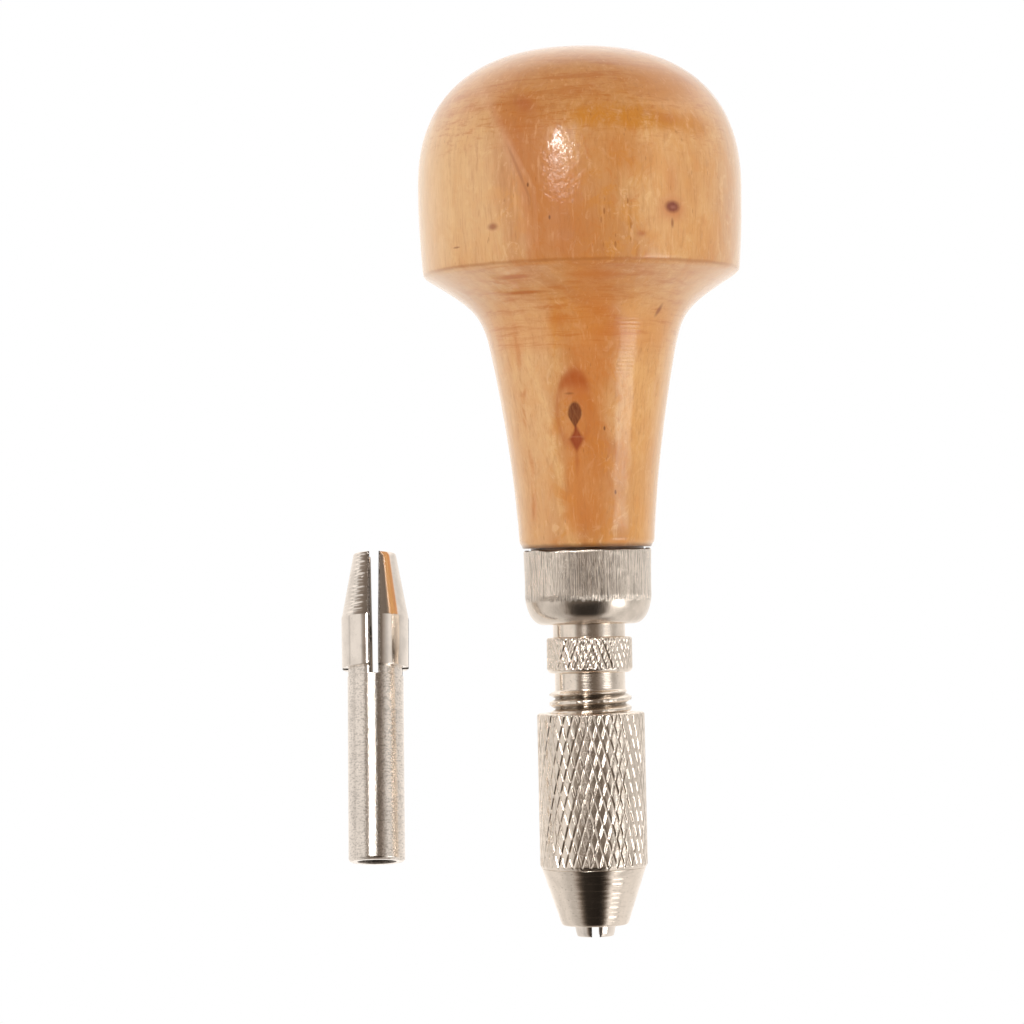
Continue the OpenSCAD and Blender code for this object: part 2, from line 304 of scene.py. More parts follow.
class Graph:
    def __init__(self, tree):
        self.tree = tree
        tree.nodes.clear()

    def node(self, kind, inputs=None, **settings):
        n = self.tree.nodes.new(kind)
        for key, value in settings.items():
            setattr(n, key, value)
        self.feed(n, inputs or {})
        return n

    def feed(self, n, inputs):
        """Gives a node's inputs, by name or number, their values or what they are linked to."""
        for key, value in inputs.items():
            self.put(value, n.inputs[key])

    def put(self, value, target):
        if isinstance(value, Field):
            self.tree.links.new(value.socket, target)
        elif isinstance(value, bpy.types.NodeSocket):
            self.tree.links.new(value, target)
        elif isinstance(value, (tuple, list)) and len(value) == 3 and target.type == "RGBA":
            target.default_value = (*value, 1)
        else:
            target.default_value = value

    def math(self, kind, *values):
        n = self.node("ShaderNodeMath", dict(enumerate(values)), operation=kind)
        return Field(self, n.outputs[0])

    def ramp01(self, value, low, high):
        """0 below low, 1 above high, smooth between; high may be the smaller."""
        ends = (low, high, 0.0, 1.0) if low < high else (high, low, 1.0, 0.0)
        inputs = dict(zip(("From Min", "From Max", "To Min", "To Max"), ends))
        inputs["Value"] = value
        n = self.node("ShaderNodeMapRange", inputs, interpolation_type="SMOOTHSTEP", clamp=True)
        return Field(self, n.outputs["Result"])

    def window(self, value, low, high, soft):
        """1 between low and high, 0 outside, with soft ends."""
        rise = self.ramp01(value, low - soft, low + soft)
        return rise * self.ramp01(value, high + soft, high - soft)

    def vector(self, x, y, z):
        return self.node("ShaderNodeCombineXYZ", {0: x, 1: y, 2: z}).outputs[0]

    def place(self):
        """The point's x, y, z in mm, in the piece's own frame."""
        n = self.node("ShaderNodeTexCoord")
        s = self.node("ShaderNodeSeparateXYZ", {0: n.outputs["Object"]})
        return [Field(self, o) / MM for o in s.outputs]

    def noise(self, vector, scale, detail=2.0, rough=0.5, warp=0.0):
        inputs = {"Vector": vector, "Scale": scale, "Detail": detail}
        n = self.node("ShaderNodeTexNoise", {**inputs, "Roughness": rough, "Distortion": warp})
        return Field(self, n.outputs["Fac"])

    def grain(self, at, across, along, detail, rough=0.5, warp=0.0):
        """Noise at a place, scaled by one amount across the axis and by another along it."""
        x, y, z = at
        return self.noise(self.vector(x * across, y * across, z * along), 1.0, detail, rough, warp)

    def cells(self, vector, scale):
        n = self.node("ShaderNodeTexVoronoi", {"Vector": vector, "Scale": scale}, feature="F1")
        return Field(self, n.outputs["Distance"])

    def mix(self, a, b, amount):
        inputs = {"Factor": amount, 6: a, 7: b}
        return self.node("ShaderNodeMix", inputs, data_type="RGBA", clamp_factor=True).outputs[2]

    def levels(self, value, stops):
        """A piecewise straight function of value, from (value, level) pairs."""
        low, high = stops[0][0], stops[-1][0]
        top = max(level for _, level in stops)
        n = self.node("ShaderNodeValToRGB", {0: (value - low) / (high - low)})
        marks = n.color_ramp.elements
        marks[0].position, marks[1].position = 0.0, 1.0
        for mark, (_, level) in zip(marks, (stops[0], stops[-1])):
            mark.color = (level / top,) * 3 + (1,)
        for at, level in stops[1:-1]:
            marks.new((at - low) / (high - low)).color = (level / top,) * 3 + (1,)
        return Field(self, n.outputs[0]) * top

    def bump(self, height, size):
        """A normal bent by height, which runs 0..1 and stands size mm tall."""
        inputs = {"Strength": 1.0, "Distance": size * MM, "Height": height}
        return self.node("ShaderNodeBump", inputs).outputs[0]


def linear(code):
    """A colour written as six hex digits, in linear light."""
    parts = [int(code[i : i + 2], 16) / 255 for i in (0, 2, 4)]
    return tuple(c / 12.92 if c <= 0.04045 else ((c + 0.055) / 1.055) ** 2.4 for c in parts)


def new_material(name):
    material = bpy.data.materials.new(name)
    material.use_nodes = True
    graph = Graph(material.node_tree)
    surface = graph.node("ShaderNodeBsdfPrincipled")
    graph.node("ShaderNodeOutputMaterial", {0: surface.outputs[0]})
    return material, graph, surface


# ---------------------------------------------------------------- wood
# Heights of the figure are counted from this far under the tip's plane.
FIGURE_DROP = 0.25
# A colour ramp holds no negative numbers, so a track's x is stored this much larger.
TRACK_SHIFT = 30


def wood_material():
    material, g, surface = new_material("lacquered_wood")
    x, y, z = g.place()
    z = z + FIGURE_DROP
    at = (x, y, z)
    front = g.ramp01(y, -0.5, -4.0)

    def track(points):
        """The x of a line that runs up the handle, from (z, x) pairs."""
        return g.levels(z, [(up, across + TRACK_SHIFT) for up, across in points]) - TRACK_SHIFT

    sway = (g.grain(at, 0.3, 0.16, 3.0, 0.55) - 0.5) * 1.1
    fine_sway = (g.grain(at, 0.8, 0.5, 2.0) - 0.5) * 0.6

    def stroke(points, half_width, low, high, soft=1.0, waver=1.0):
        """A wavering line of wood figure along a track, 0..1."""
        off = abs(x + (sway + fine_sway) * waver - track(points)) / half_width
        return g.ramp01(off, 1.0, 0.15) * g.window(z, low, high, soft) * front

    def blob(at_x, at_z, wide, tall, soft=0.2, lean=0.0):
        """A spot on the front of the handle, 0..1."""
        dx = (x - at_x) + (z - at_z) * lean
        off = ((dx / wide) ** 2.0 + ((z - at_z) / tall) ** 2.0) ** 0.5
        return g.ramp01(off, 1.0, soft) * front

    def paint(tone, amount):
        """Lays a tone over the colour so far."""
        nonlocal colour
        colour = g.mix(colour, linear(tone), amount)

    # growth rings round a far pith, soft and uneven, and the slow drift of tone through the block
    bend = sway * 2.0
    ring_at = ((x + 34.0) ** 2.0 + (y - 46.0) ** 2.0) ** 0.5 + bend + z * 0.045
    ring = g.noise(g.vector(ring_at * 0.42, 0.0, z * 0.006), 1.0, 4.0, 0.62)
    drift = g.grain(at, 0.07, 0.035, 3.0, 0.5)
    mottle = g.grain(at, 0.45, 0.22, 4.0, 0.6, 0.6)
    grain = g.grain(at, 2.1, 0.3, 4.0, 0.62, 0.5)
    hair = g.grain(at, 9.0, 0.5, 2.0, 0.6)

    early = g.ramp01(ring * 0.55 + drift * 0.45, 0.36, 0.62)
    colour = g.mix(linear("B9773F"), linear("DDAE72"), early)
    paint("C48341", g.ramp01(mottle, 0.42, 0.66) * 0.55)
    patch = g.grain(at, 0.28, 0.22, 5.0, 0.7, 0.8)
    paint("CC8530", g.ramp01(patch, 0.48, 0.62) * 0.55)
    cloud = g.grain(at, 0.8, 0.55, 4.0, 0.7, 1.0)
    paint("C57330", g.ramp01(cloud, 0.52, 0.68) * 0.4)
    paint("E6BE8C", g.ramp01(cloud, 0.46, 0.32) * 0.4)

    # pale left side, warm dark heart band, yellow right side
    pale_left = g.ramp01(x + sway * 2.0, -6.0, -10.5) * g.ramp01(z, 66.0, 76.0) * front
    paint("DDB27E", pale_left * 0.62)
    neck_track = [(40, 0.0), (55, -0.3), (64, 0.9), (71, 1.0), (75, 0.4)]
    neck_heart = stroke(neck_track, 3.9, 44.0, 72.0, 1.5)
    paint("C06A1A", neck_heart * 0.64)
    edge = [(60, -5.6), (73.7, -5.9), (80.3, -6.5), (82.6, -7.2)]
    edge += [(86.4, -8.5), (91.0, -10.6), (98, -13)]
    from_edge = x + fine_sway * 0.3 + 0.3 - track(edge)
    head_heart = g.ramp01(from_edge, -0.1, 0.5) * g.ramp01(from_edge, 8.5, 3.5)
    head_heart = head_heart * g.window(z, 72.0, 89.5, 1.5) * front
    paint("B96A2A", head_heart * 0.62)
    centre = blob(-0.6, 77.5, 5.0, 8.0, 0.1, 0.12)
    paint("BE7434", centre * 0.4)
    right = g.ramp01(x + sway * 2.0, 5.0, 8.5) * g.ramp01(x, 16.5, 13.0)
    right = right * g.ramp01(z, 70.0, 75.0) * front
    paint("DBA365", right * 0.5)
    neck_left = g.ramp01(x + sway, -3.2, -4.6) * g.ramp01(z, 71.0, 67.0) * front
    paint("D8A670", neck_left * 0.6)
    neck_right = g.ramp01(x + sway, 3.4, 5.4) * g.ramp01(z, 71.0, 67.0) * front
    paint("DDA25C", neck_right * 0.6)

    # the palm end: brown end grain with bands across
    cap = g.ramp01(z + sway * 0.6, 86.0, 91.5)
    paint("C07C38", cap * 0.65)
    band = g.noise(g.vector(x * 0.10, y * 0.14, z * 1.15), 1.0, 4.0, 0.65, 0.6)
    paint("B2621F", g.ramp01(band, 0.46, 0.64) * cap * 0.55)
    cross = g.grain(at, 0.45, 2.6, 4.0, 0.7, 0.5)
    paint("B4611C", g.ramp01(cross, 0.5, 0.68) * g.window(z, 84.5, 92.0, 2.0) * 0.5)
    gold = g.window(z + x * 0.03 + fine_sway * 2.0 + sway * 0.6, 86.2, 88.3, 0.9)
    gold = gold * g.window(x, -1.0, 13.6, 1.6) * front
    paint("C67E22", gold * g.ramp01(cloud, 0.26, 0.58) * 0.95)
    amber = blob(8.8, 91.4, 5.4, 2.8, 0.3)
    paint("BF7824", amber * 0.75)
    paint("C07226", blob(3.4, 83.6, 5.4, 5.4, 0.0) * 0.5)
    paint("B3601F", blob(9.0, 87.2, 2.2, 0.9, 0.0) * 0.4)
    paint("A9502A", blob(-5.9, 89.0, 1.9, 1.9, 0.0, 0.4) * 0.45)

    # pale streaks at the left of the heart band, with thin dark lines beside them
    paint("EBC19A", stroke(edge, 1.1, 73.0, 92.0, 1.5, 0.5) * 0.16)
    beside = [(60, -4.6), (73.7, -4.9), (79.8, -5.2), (85.5, -8.0), (98, -12)]
    paint("E3B186", stroke(beside, 0.4, 73.5, 86.0, 1.0, 0.5) * 0.14)
    thin = [(60, -5.5), (78.9, -5.65), (84.2, -7.6), (98, -11.8)]
    paint("8C4F24", stroke(thin, 0.25, 78.0, 84.5, 0.8, 0.2) * 0.3)
    vein_track = [(40, -5.6), (46.9, -5.7), (51.1, -5.75), (56.1, -6.45)]
    vein_track += [(60.5, -6.7), (65.0, -7.3), (70, -7.6)]
    vein = stroke(vein_track, 0.42, 45.5, 66.5, 1.0, 0.6) * g.ramp01(mottle, 0.4, 0.6)
    paint("C06A28", vein * 0.55)
    low_orange = [(40, -1.7), (47.5, -1.6), (52, -1.5), (60, -1.4)]
    paint("CB8038", stroke(low_orange, 1.2, 44.0, 52.0, 1.5, 0.4) * 0.5)

    # fine figure
    paint("A8642E", g.ramp01(grain, 0.52, 0.72) * 0.3)
    paint("EABB84", g.ramp01(grain, 0.44, 0.28) * 0.26)
    tick_at = g.vector(x * 1.9, y * 1.9, z * 0.42)
    tick = g.ramp01(g.cells(tick_at, 1.0), 0.15, 0.06) * g.ramp01(mottle, 0.44, 0.58)
    paint("8E4D20", tick * 0.42)
    paint("B07038", g.ramp01(hair, 0.54, 0.7) * 0.24)
    group = g.window(z, 73.5, 79.0, 0.8) * g.window(x, 1.8, 5.0, 0.6) * front
    dash = g.ramp01(g.cells(g.vector(x * 1.7, y * 1.7, z * 0.55), 1.0), 0.26, 0.14)
    paint("8E4D22", dash * group * 0.7)

    # knots
    round_knot = blob(9.4, 77.8, 1.05, 0.85, 0.35)
    knot_heart = blob(9.45, 77.75, 0.5, 0.32, 0.0)
    paint("BE6C38", blob(9.4, 77.6, 2.0, 1.9, 0.0) * 0.75)
    paint("BE6C38", blob(9.4, 80.6, 1.1, 3.2, 0.0) * 0.3)
    paint("74280F", round_knot * (0.7 + hair * 0.4))
    paint("A1624A", knot_heart * 0.6)
    paint("8A4A22", blob(9.35, 76.1, 0.22, 0.75, 0.2) * 0.7)
    paint("8E421E", blob(-9.5, 76.1, 0.75, 0.55, 0.2) * 0.7)
    paint("A54A22", blob(6.1, 74.9, 0.8, 0.5, 0.0) * 0.55)
    for at_x, at_z in ((-5.75, 80.2), (-3.55, 76.7), (1.94, 55.0), (3.0, 48.2)):
        paint("6B3717", blob(at_x, at_z, 0.16, 0.34, 0.3) * 0.8)
    paint("93532A", blob(-13.4, 74.35, 0.5, 0.14, 0.3) * 0.7)

    halo = blob(-1.2, 58.4, 2.3, 4.0, 0.25)
    paint("B85F28", halo * g.ramp01(z, 56.0, 61.5) * 0.55 + halo * 0.15)
    ring_x = (x + 1.25 + fine_sway * 0.3) / 2.0
    ring_z = (z - 57.0 + sway * 0.4) / 4.2
    ring_off = (ring_x**2.0 + ring_z**2.0) ** 0.5
    rim = g.window(ring_off, 0.82, 0.98, 0.16) * front * g.ramp01(x, 1.2, -0.6)
    paint("A84E1C", rim * 0.5)
    cap_arc = g.window(ring_off, 0.55, 1.0, 0.2) * g.ramp01(z, 58.6, 60.2) * front
    paint("A8500C", cap_arc * (0.5 + grain * 0.5))
    drop_wide = 0.84 - 0.5 * g.ramp01(z, 56.6, 55.0)
    drop_off = (((x + 1.2) / drop_wide) ** 2.0 + ((z - 56.55) / 1.5) ** 2.0) ** 0.5
    paint("662C06", g.ramp01(drop_off, 1.0, 0.72) * front * (0.55 + hair * 0.6))
    stem = g.window(x + 1.15, -0.1, 0.1, 0.08) * g.window(z, 54.6, 55.5, 0.2) * front
    paint("6E2A0A", stem * 0.8)
    diamond_off = abs(x + 1.05 + fine_sway * 0.15) / 0.95 + abs(z - 53.9) / 1.6
    diamond = g.ramp01(diamond_off, 1.1, 0.55) * front
    paint("8E3602", diamond * (0.65 + grain * 0.5))
    paint("D08A66", diamond * g.window(z, 54.1, 54.2, 0.12) * 0.3)
    paint("A9541D", blob(-1.05, 51.6, 0.4, 2.2, 0.0) * 0.5)
    paint("5A230B", blob(-1.75, 58.75, 0.75, 0.2, 0.0) * 0.5)

    # under the shoulder
    paint("A15C26", g.window(z + fine_sway * 0.3, 72.15, 72.45, 0.12) * 0.5)
    streak = g.grain(at, 0.22, 1.9, 4.0, 0.65, 0.4)
    streaks = g.ramp01(streak, 0.45, 0.7)
    under = g.window(z, 63.5, 72.0, 1.0)
    paint("D28C48", under * 0.3)
    paint("BB661F", streaks * under * 0.6)
    paint("BF6A1E", blob(1.2, 70.9, 4.4, 0.55, 0.1) * 0.7)
    stains = blob(-2.6, 66.6, 2.0, 1.1, 0.0) * 0.55 + blob(2.6, 65.2, 3.4, 0.8, 0.0) * 0.5
    paint("C06C22", stains)
    paint("8C4A1E", blob(8.0, 67.5, 0.3, 0.95, 0.2, -0.6) * 0.7)
    paint("B55F14", blob(-7.4, 70.9, 2.8, 0.34, 0.2) * 0.85)
    paint("B55F14", blob(-6.4, 69.4, 3.6, 0.28, 0.2) * 0.85)
    paint("E0AE80", blob(-7.6, 71.4, 1.2, 0.35, 0.1) * 0.5)

    # painted sheen: a pale tone mixed into the colour where the varnish is seen at a slant, standing in
    # for its reflection there
    slant = g.node("ShaderNodeLayerWeight", {"Blend": 0.5})
    painted_sheen = g.ramp01(Field(g, slant.outputs["Facing"]), 0.35, 0.95)
    paint("F6DCBC", painted_sheen * (0.5 - g.ramp01(z, 87.0, 92.0) * 0.2 - amber * 0.22))

    # a dark band on the wood just above the ferrule
    foot = g.ramp01(z + fine_sway * 0.3, 42.95, 42.4)
    paint("3E1F0C", foot * 0.75)

    g.feed(surface, {"Base Color": colour, "Roughness": 0.5, "Specular IOR Level": 0.25})

    # wood's own relief under the lacquer, and the lacquer's ripple, pits and dust on top
    relief = grain * 0.5 + hair * 0.25 + mottle * 0.25
    g.feed(surface, {"Normal": g.bump(relief, 0.03)})
    ripple = g.noise(g.vector(x, y, z * 0.75), 0.55, 2.0, 0.45)
    peel = g.noise(g.vector(x, y, z), 2.6, 2.0, 0.5)
    pit = g.ramp01(g.cells(g.vector(x, y, z * 0.6), 1.15), 0.1, 0.03)
    chatter_at = g.window(z, 60.5, 67.0, 0.8)
    chatter = g.math("SINE", z * (TAU / 0.42) + sway * 3.0) * chatter_at
    crumple_at = g.window(x, -4.5, 2.5, 1.0) * g.window(z, 78.0, 84.6, 1.0)
    crumple = g.noise(g.vector(x, y, z), 1.3, 3.0, 0.6, 0.5) * crumple_at
    skin = ripple * 0.9 + crumple * 0.8 + peel * 0.12 + grain * 0.04 + chatter * 0.08
    lacquer = g.bump(skin - pit * 0.1 - tick * 0.04, 0.085)
    haze = g.noise(g.vector(x, y, z), 0.8, 3.0, 0.6)
    g.feed(surface, {"Coat Weight": 1.0, "Coat IOR": 1.5, "Coat Normal": lacquer})
    g.feed(surface, {"Coat Roughness": haze * 0.06 + 0.045})
    return material


# ---------------------------------------------------------------- metals
def metal_material(name, colour, dull, finish):
    """Metal with its own finish: finish(g, at) gives (height, its size in mm, extra dullness,
    anisotropy, whether the tool marks run round the axis, how dark its marks and painted shade are)."""
    material, g, surface = new_material(name)
    x, y, z = at = g.place()
    height, size, extra, anisotropy, turned, dark = finish(g, at)
    wear = g.noise(g.vector(x, y, z), 0.7, 4.0, 0.65)
    tint = g.noise(g.vector(x, y, z * 0.6), 0.35, 3.0, 0.5)
    shade = tuple(c * 0.86 for c in colour)
    plain = g.mix(shade, colour, g.ramp01(tint * 0.5 + wear * 0.5, 0.36, 0.58))
    # darkened by the finish's marks, and on some finishes by painted shade
    marked_and_shaded = g.mix(plain, tuple(c * 0.34 for c in colour), dark)
    tangent = g.node("ShaderNodeTangent", direction_type="RADIAL", axis="Z").outputs[0]
    g.feed(surface, {"Base Color": marked_and_shaded, "Metallic": 1.0, "Tangent": tangent})
    g.feed(surface, {"Roughness": wear * 0.07 + extra + (dull - 0.035)})
    g.feed(surface, {"Anisotropic": anisotropy, "Anisotropic Rotation": 0.25 if turned else 0.0})
    g.feed(surface, {"Normal": g.bump(height, size)})
    return material


def drawn_finish(g, at):
    """Fine lines down the side of the ferrule, polished away on its rounded end."""
    x, y, z = at
    line = g.grain(at, 6.5, 0.12, 3.0, 0.65)
    body = g.ramp01(z + line, 36.8, 37.6)
    broad = g.grain(at, 1.8, 0.12, 2.0, 0.5)
    dent = g.noise(g.vector(x, y, z), 0.5, 2.0, 0.5)
    dust = g.grain(at, 7.0, 0.2, 3.0, 0.8)
    height = (line * 0.55 + broad * 0.45) * (body * 0.95 + 0.05) + dent * 0.25
    # dark dust marks down the side; on the rounded end a weaker darkening is painted shade, for the dark
    # it reflects
    marks = g.ramp01(dust, 0.5, 0.63) * body * 0.7 + (1.0 - body) * dust * 0.3
    return height, 0.15, 0.08 - body * 0.03, 0.3, False, marks


def turned_finish(g, at):
    """Fine rings left by the lathe."""
    x, y, z = at
    ring = g.grain(at, 0.05, 9.0, 3.0, 0.7)
    fine = g.grain(at, 0.3, 30.0, 1.0, 0.5)
    speck = g.ramp01(g.grain(at, 3.0, 6.0, 2.0, 0.6), 0.6, 0.72)
    # painted shade: the thread's roots are darkened, as if shaded deep in the grooves
    root_shade = g.ramp01((x * x + y * y) ** 0.5, THREAD_R - 0.12, CORE_R + 0.1)
    root_shade = root_shade * g.window(z, SPINDLE_END, THREAD_TOP - 0.6, 0.2)
    return ring * 0.7 + fine * 0.3, 0.015, 0.0, 0.35, True, (speck * 0.4).most(root_shade * 0.7)


def knurled_finish(g, at):
    """Worn crests of a pressed knurl."""
    grit = g.grain(at, 4.0, 4.0, 3.0, 0.6)
    dirt = g.ramp01(g.grain(at, 1.6, 1.6, 4.0, 0.7), 0.55, 0.75)
    return grit, 0.012, grit * 0.05, 0.0, True, dirt * 0.5


def polished_finish(g, at):
    x, y, z = at
    dent = g.noise(g.vector(x, y, z * 0.6), 1.2, 2.0, 0.5)
    ring = g.grain(at, 0.1, 12.0, 2.0, 0.6)
    return dent * 0.7 + ring * 0.3, 0.008, 0.0, 0.2, True, 0.0


def satin_finish(g, at):
    """A ground shank: speckled, with short marks round it."""
    speck = g.grain(at, 3.6, 5.0, 2.0, 0.7)
    mark = g.grain(at, 1.0, 7.0, 3.0, 0.7)
    dark = g.ramp01(speck * 0.6 + mark * 0.4, 0.49, 0.58)
    return speck * 0.6 + mark * 0.4, 0.035, speck * 0.05, 0.1, True, dark * 0.4


def ground_finish(g, at):
    """A collet's head: polished, with a few rings and pits."""
    x, y, z = at
    ring = g.grain(at, 0.2, 7.0, 3.0, 0.7)
    pit = g.ramp01(g.cells(g.vector(x, y, z), 2.2), 0.12, 0.04)
    return ring * 0.8 - pit * 0.4, 0.006, 0.0, 0.2, True, pit * 0.6


def sawn_finish(g, at):
    """The walls of a collet's slots, as the slitting saw left them."""
    mark = g.grain(at, 3.0, 8.0, 3.0, 0.7)
    return mark, 0.05, mark * 0.2, 0.0, False, g.ramp01(mark, 0.35, 0.6)


NICKEL = (0.93, 0.84, 0.745)
STEEL = (0.96, 0.89, 0.82)
WOOD = wood_material()
FERRULE = metal_material("drawn_nickel", NICKEL, 0.13, drawn_finish)
TURNED = metal_material("turned_nickel", NICKEL, 0.12, turned_finish)
NECK = metal_material("polished_nickel", NICKEL, 0.16, polished_finish)
KNURLED = metal_material("knurled_nickel", NICKEL, 0.16, knurled_finish)
GROUND = metal_material("ground_steel", STEEL, 0.1, ground_finish)
SATIN = metal_material("satin_steel", STEEL, 0.11, satin_finish)
SAWN = metal_material("sawn_steel", (0.4, 0.35, 0.31), 0.4, sawn_finish)


# ---------------------------------------------------------------- handle
def handle_profile():
    g = np.linspace(math.pi / 2, 0, 160)
    dome = np.stack(
        [
            HANDLE_R * np.cos(g).clip(0) ** (2 / DOME_POWER),
            WIDE_Z + (HANDLE_TOP - WIDE_Z) * np.sin(g).clip(0) ** (2 / DOME_POWER),
        ],
        1,
    )
    dome[0, 0] = 0
    drop = np.linspace(0, WIDE_Z - SHOULDER_Z - BELLY_STOP, 12)
    belly = np.stack([HANDLE_R - BELLY_SINK * (drop / (WIDE_Z - SHOULDER_Z)) ** 2, WIDE_Z - drop], 1)
    shoulder = np.array([HANDLE_R - BELLY_SINK, SHOULDER_Z])
    inward = np.array([-math.cos(UNDER_SLOPE), -math.sin(UNDER_SLOPE)])
    edge_in = shoulder + 0.6 * inward
    neck_top, neck_foot = np.array(NECK_TOP), np.array(NECK_FOOT)
    along_neck = np.array([0.19, 1])
    under_z = RIM_Z + 0.1
    edge = bezier(belly[-1], shoulder + [0, 0.15], shoulder + [-0.05, 0.02], edge_in, 24)
    cove = bezier(edge_in, edge_in + 6.4 * inward, neck_top + 5 * along_neck, neck_top, 60)
    neck = bezier(neck_top, neck_top - 7 * along_neck, neck_foot + [0.3, 6], neck_foot, 60)
    foot = bezier(neck_foot, neck_foot - [0.03, 0.5], [FOOT_R, RIM_Z + 0.4], [FOOT_R, RIM_Z + 0.22], 16)
    under = path([(FOOT_R, RIM_Z + 0.22, 0), (FOOT_R - 0.1, under_z, 0.05), (TENON_R, under_z, 0)], 0.3)
    tenon = path([(TENON_R, under_z, 0), (TENON_R, TENON_LOW, 0), (0, TENON_LOW, 0)], 3.0)
    pieces = [
        even(dome, 0.26),
        even(belly, 0.26)[1:],
        even(edge, 0.07)[1:],
        even(cove, 0.22)[1:],
        even(neck, 0.24)[1:],
        even(foot, 0.09)[1:],
        under[1:],
        tenon[1:],
    ]
    return np.concatenate(pieces)


def dent(a, z, at_angle, at_z, radius, wide, tall, depth):
    """A shallow hollow of a turned surface, in mm."""
    across = wrap(a - at_angle) * radius / wide
    return depth * np.exp(-(across**2) - ((z - at_z) / tall) ** 2)


def handle_shape(r, a, z):
    shown = smoothstep(z, RIM_Z, RIM_Z + 2.2)
    fade = shown * smoothstep(r, 0.5, 4.0)
    sink = 0.03 * (1 + waves(3, a, z, 10, 3, 26.0).clip(-1, 1)) * fade
    sink = sink + 0.007 * (1 + waves(4, a, z, 16, 11, 5.0).clip(-1, 1)) * fade
    ridges = 0.004 * (1 + waves(5, a, z, 24, 60, 18.0).clip(-1, 1)) * fade
    sink = sink + ridges
    front = -math.pi / 2
    # the knots and the crack in the neck, then knocks that the palm end has taken
    sink = sink + dent(a, z, front - 0.14, 55.15, 8.6, 0.9, 2.6, 0.07)
    sink = sink + dent(a, z, front - 0.14, 58.15, 9.1, 2.2, 2.0, -0.02)
    sink = sink + dent(a, z, front + 0.567, 77.55, 17.5, 1.0, 1.0, 0.06)
    sink = sink + dent(a, z, math.pi + 0.05, 88.2, 16.4, 0.5, 0.35, 0.09)
    sink = sink + dent(a, z, math.pi + 0.05, 94.3, 11.0, 0.7, 0.35, 0.08)
    rng = np.random.default_rng(12)
    for _ in range(46):
        at = rng.uniform(0, TAU), rng.uniform(45, 95)
        wide = rng.uniform(0.25, 1.1)
        tall = wide * rng.uniform(0.5, 1.6)
        sink = sink + dent(a, z, *at, 12.0, wide, tall, rng.uniform(0.006, 0.03)) * shown
    # the neck's foot is faceted a little where it was filed down to the ferrule
    filed = smoothstep(z, 46.75, 42.75) * smoothstep(z, 41.95, 42.25)
    sink = sink + 0.04 * filed * (1 + waves(6, a, z, 6, 7, 9.0).clip(-1, 1))
    return (r - sink).clip(0), z


# ---------------------------------------------------------------- ferrule and spindle
def ferrule_profile():
    outer = [
        (TENON_R + 0.12, RIM_Z - 3.0, 0),
        (TENON_R + 0.12, RIM_Z - 0.08, 0.1),
        (FERRULE_RIM_R, RIM_Z - 0.08, 0.38),
        (FERRULE_SIDE_R, RIM_Z - 3.6, 1.0),
        (FERRULE_SIDE_R, FERRULE_ROUND_Z, 0),
    ]
    side = path(outer, 0.12)
    flat_edge = (FERRULE_FLAT_R, FERRULE_END_Z)
    turn = bezier(side[-1], (6.8, FERRULE_END_Z + 1.55), (6.1, FERRULE_END_Z), flat_edge, 26)
    inside = path(
        [
            (*flat_edge, 0),
            (NECK_R + 0.03, FERRULE_END_Z, 0.05),
            (NECK_R + 0.03, FERRULE_END_Z + 0.75, 0.05),
            (TENON_R - 0.3, FERRULE_END_Z + 0.75, 0.4),
            (TENON_R + 0.12, FERRULE_END_Z + 1.6, 0),
        ],
        0.5,
    )
    return np.concatenate([side, turn[1:], inside[1:]])


def ferrule_shape(r, a, z):
    rim = smoothstep(z, RIM_Z - 0.9, RIM_Z - 0.1)
    lift = 0.09 * waves(21, a, 0 * z, 9, 13, 9.0).clip(-1.4, 1.4)
    outside = smoothstep(r, 6.4, 6.6)
    sink = 0.02 * (1 + waves(22, a, z, 8, 4, 8.0).clip(-1, 1)) * outside
    sink = sink + 0.006 * (1 + waves(23, a, z, 10, 9, 3.0).clip(-1, 1)) * outside
    return r - sink, z + rim * (lift - 0.04)


def band_shape(r, a, z):
    depth = knurl(a, z, 40, BAND_R, KNURL_SLOPE, 0.16, 31, 0.35)
    second = knurl(a + 0.021, z, 41, BAND_R, math.tan(math.radians(23)), 0.1, 32, 0.5)
    fade = smoothstep(z, BAND_LOW - 0.05, BAND_LOW + 0.2) * smoothstep(z, BAND_HIGH, BAND_HIGH - 0.2)
    cut = 0.1 * np.maximum(depth, 0.45 * second) * fade * (r > BAND_R - 0.1)
    return r - cut, z


def thread_radius(a, z, top, core, crest, gap):
    """Radius of a thread with worn crests, whose ridge is at THREAD_START where the angle is 0."""
    turn = (z - THREAD_START - PITCH * (a % TAU) / TAU) / PITCH
    off = np.abs((turn + 0.5) % 1 - 0.5) * PITCH
    down = (off - crest / 2 - gap).clip(0)
    return np.clip(top - math.sqrt(3) * down**2 / (down + 0.03), core, top)


def spindle_thread_shape(r, a, z):
    live = smoothstep(z, THREAD_START - 0.1, THREAD_START + 0.5)
    live = live * smoothstep(z, THREAD_TOP - 0.15, THREAD_TOP - 0.7)
    cut = thread_radius(a, z, THREAD_R, CORE_R, CREST, 0.0)
    at_crest = smoothstep(cut, THREAD_R - 0.12, THREAD_R)
    burr = 0.035 * (1 + waves(41, a, z, 30, 90, 0.8).clip(-1, 1)) * at_crest
    outside = (r > CORE_R - 0.02) & (z > SPINDLE_END + 0.2)
    return np.where(outside, r + (cut - CORE_R - burr).clip(0) * live, r), z


def nut_thread_shape(r, a, z):
    live = smoothstep(z, RELIEF_HIGH + 0.25, RELIEF_HIGH + 0.65)
    live = live * smoothstep(z, NUT_TOP - 0.5, NUT_TOP - 0.8)
    cut = thread_radius(a, z, THREAD_R + 0.1, CORE_R + 0.12, CREST, 0.14)
    inside = r < THREAD_R - 0.3
    return np.where(inside, r + (cut - CORE_R - 0.12).clip(0) * live, r), z


